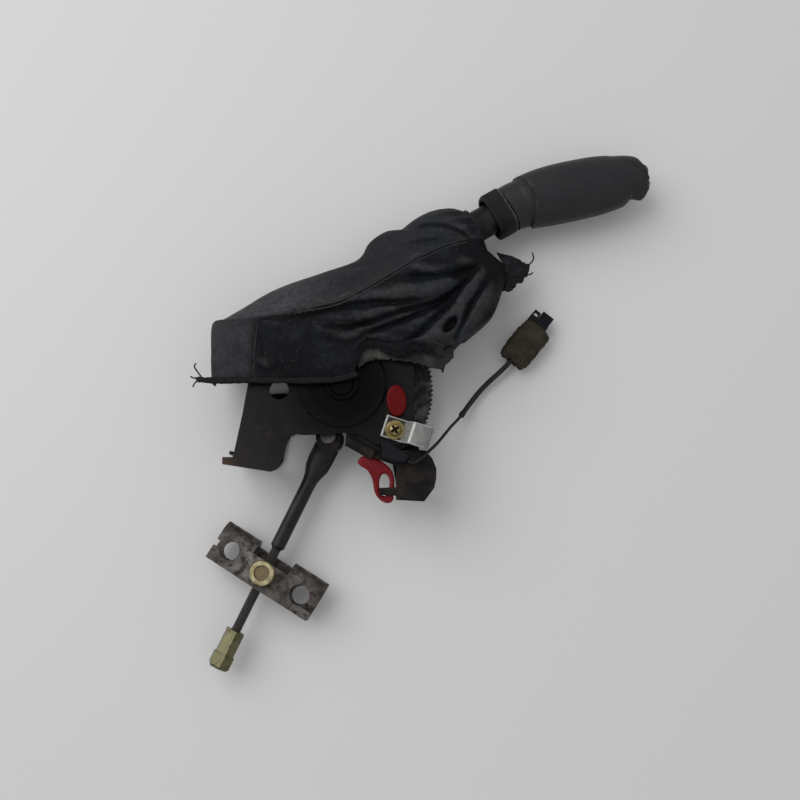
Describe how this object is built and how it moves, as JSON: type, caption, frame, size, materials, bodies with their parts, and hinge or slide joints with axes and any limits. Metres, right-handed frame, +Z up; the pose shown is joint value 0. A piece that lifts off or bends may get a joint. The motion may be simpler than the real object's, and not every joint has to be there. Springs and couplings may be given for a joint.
{
  "type": "parking brake lever",
  "caption": "Car parking-brake lever: hand grip with release button, leather gaiter, ratchet bracket, pull rod with cable equalizer and a wired warning switch.",
  "frame": {"origin": "middle of the base of the assembly's box, on the surface that it lies on, without the switch lead", "axes": "+Z up from the far side plate that it lies on, parallel to the lever's hinge; +Y along the longest side, from the equalizer towards the grip; +X to the right as the near side plate faces the viewer"},
  "size_m": [0.3602, 0.4189, 0.0716],
  "materials": {
    "black_paint": "worn satin black paint",
    "dark_steel": "dull dark steel",
    "rusty_steel": "raw steel with light rust",
    "yellow_zinc": "yellow passivated zinc",
    "bright_zinc": "bright zinc",
    "red_plastic": "red moulded plastic",
    "black_plastic": "black moulded plastic",
    "charcoal_grip": "charcoal soft-touch plastic",
    "leather": "worn black leather",
    "wire_sheath": "dull black insulation",
    "foam": "olive-brown foam strip"
  },
  "bodies": {
    "base": {"near_bracket_plate": "black_paint", "far_bracket_plate": "black_paint", "rear_foot_base": "black_paint", "front_foot_base": "black_paint", "front_foot": "black_paint", "ratchet_sector": "dark_steel", "sector_pin_upper": "dark_steel", "sector_pin_lower": "dark_steel", "red_cap": "red_plastic", "red_clip": "red_plastic", "switch_bracket": "bright_zinc", "switch_body": "black_plastic", "switch_spring": "dark_steel", "switch_screw": "yellow_zinc", "switch_washer": "yellow_zinc", "pivot_pin": "dark_steel", "pivot_boss": "black_paint", "pivot_clip": "dark_steel", "gaiter": "leather", "switch_lead": "wire_sheath", "lead_sleeve": "wire_sheath", "foam_wrap": "foam", "connector": "black_plastic"},
    "lever": {"lever_cheek_near": "black_paint", "lever_cheek_far": "black_paint", "lever_tube": "black_paint", "lever_rivet_1": "dark_steel", "lever_rivet_2": "dark_steel", "grip_collar": "charcoal_grip", "grip": "charcoal_grip", "pivot_bush_near": "dark_steel", "pivot_bush_far": "dark_steel", "pawl_pin": "dark_steel", "button_spring": "dark_steel", "clevis_pin": "dark_steel", "clevis_clip": "dark_steel", "clevis_spacer": "dark_steel"},
    "button": {"release_button": "charcoal_grip", "release_rod": "dark_steel"},
    "pawl": {"pawl": "dark_steel"},
    "rod": {"pull_rod": "dark_steel"},
    "trunnion": {"trunnion": "yellow_zinc"},
    "equalizer": {"equalizer_bar": "rusty_steel"},
    "nut": {"adjuster_nut": "yellow_zinc"},
    "plunger": {"switch_plunger": "black_plastic"}
  },
  "joints": [
    {"name": "lever_pivot", "type": "hinge", "parent": "base", "child": "lever", "pos_m": [-0.0736, 0.011, 0.027], "axis": [0, 0, 1], "range_deg": [-6, 28], "deforming": ["gaiter"]},
    {"name": "button_press", "type": "slide", "parent": "lever", "child": "button", "axis": [-0.9656, -0.2599, 0], "range_m": [0, 0.007], "stiffness_N_per_m": 600, "deforming": ["button_spring"]},
    {"name": "pawl_lift", "type": "hinge", "parent": "lever", "child": "pawl", "pos_m": [-0.0194, 0.0803, 0.027], "axis": [0, 0, 1], "range_deg": [0, 12.1]},
    {"name": "rod_swing", "type": "hinge", "parent": "lever", "child": "rod", "pos_m": [-0.0846, -0.0286, 0.02], "axis": [0, 0, 1], "range_deg": [-10, 18]},
    {"name": "equalizer_slide", "type": "slide", "parent": "rod", "child": "trunnion", "axis": [-0.4327, -0.9015, 0], "range_m": [-0.01, 0.03]},
    {"name": "equalizer_tilt", "type": "hinge", "parent": "trunnion", "child": "equalizer", "pos_m": [-0.13523, -0.13408, 0.02], "axis": [0, 0, 1], "range_deg": [-12, 12]},
    {"name": "nut_turn", "type": "hinge", "parent": "rod", "child": "nut", "pos_m": [-0.16249, -0.19088, 0.02], "axis": [-0.4327, -0.9015, 0], "continuous": true},
    {"name": "switch_press", "type": "slide", "parent": "base", "child": "plunger", "axis": [0.9536, -0.3011, 0], "range_m": [0, 0.003], "stiffness_N_per_m": 300, "deforming": ["switch_spring"]}
  ],
  "couplings": [
    {"joint": "pawl_lift", "follows": "button_press", "rad_per_m": 30}
  ]
}
